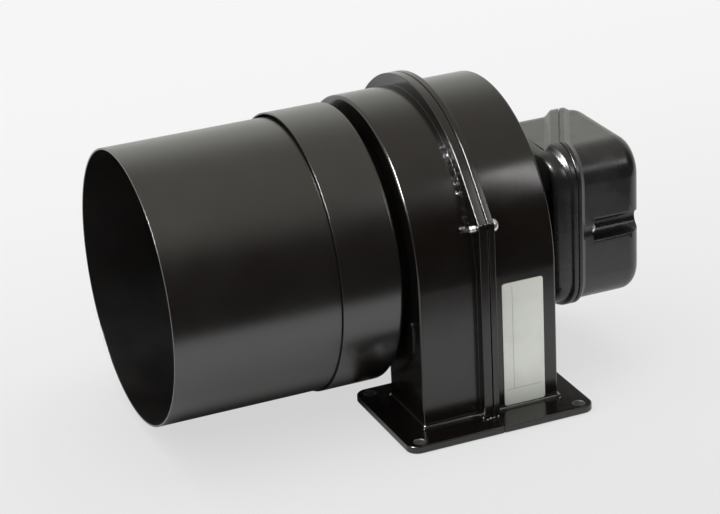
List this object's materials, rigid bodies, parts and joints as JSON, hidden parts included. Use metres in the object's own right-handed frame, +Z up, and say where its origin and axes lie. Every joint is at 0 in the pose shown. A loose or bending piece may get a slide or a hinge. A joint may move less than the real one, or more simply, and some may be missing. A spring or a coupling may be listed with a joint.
{
  "type": "combustion fan",
  "caption": "Combustion air fan: round inlet tube, cast scroll on a flanged neck that blows down, forward-curved wheel on an external-rotor motor, terminal box behind.",
  "frame": {"origin": "centre of the four bolt holes of the base flange, on its underside", "axes": "+X along the fan axis from the inlet tube to the terminal box, +Z up from the flange, +Y from the neck to the far side of the scroll"},
  "size_m": [0.2975, 0.1974, 0.1797],
  "materials": {
    "cast_paint": "satin black paint on cast aluminium",
    "sheet_paint": "satin black paint on sheet steel",
    "moulding": "satin black moulding",
    "black_rubber": "matte black",
    "galvanised": "galvanised sheet",
    "zinc": "bright zinc plate",
    "label_silver": "satin silver foil",
    "die_cast": "bare die casting",
    "lamination": "stacked electrical steel",
    "copper": "enamelled copper wire",
    "lead_red": "insulated lead",
    "bearing_steel": "ground steel",
    "block_plastic": "cream moulding",
    "brass": "plain brass",
    "can_white": "white plastic can",
    "spring_steel": "spring steel"
  },
  "bodies": {
    "housing": {"inlet_tube": "sheet_paint", "inlet_collar": "sheet_paint", "standoff_ring": "black_rubber", "inlet_nozzle": "galvanised", "nozzle_screws": "zinc", "front_shell": "cast_paint", "rear_shell": "cast_paint", "seam_screws": "zinc", "rating_plate": "label_silver", "motor_flange": "die_cast", "motor_screws": "zinc", "stator_core": "lamination", "stator_winding": "copper", "motor_leads": "lead_red", "lead_grommet": "black_rubber", "bearing_outer_rings": "bearing_steel", "box_base": "moulding", "box_screws": "zinc", "box_gasket": "black_rubber", "box_cover": "moulding", "cover_screws": "zinc", "terminal_block": "block_plastic", "terminal_screws": "brass", "run_capacitor": "can_white", "capacitor_clip": "spring_steel", "clip_screws": "zinc", "gland_body": "moulding", "gland_seal": "black_rubber", "gland_cap": "moulding", "gland_locknut": "moulding"},
    "rotor": {"shaft": "bearing_steel", "shaft_circlip": "bearing_steel", "bearing_inner_rings": "bearing_steel", "bearing_balls": "bearing_steel", "rotor_can": "galvanised", "rotor_core": "lamination", "rotor_end_rings": "die_cast", "wheel_back_plate": "galvanised", "wheel_blades": "galvanised", "wheel_front_ring": "galvanised", "wheel_rivets": "zinc"}
  },
  "joints": [
    {"name": "wheel_spin", "type": "hinge", "parent": "housing", "child": "rotor", "pos_m": [0, 0.0685, 0.0875], "axis": [1, 0, 0], "continuous": true}
  ]
}
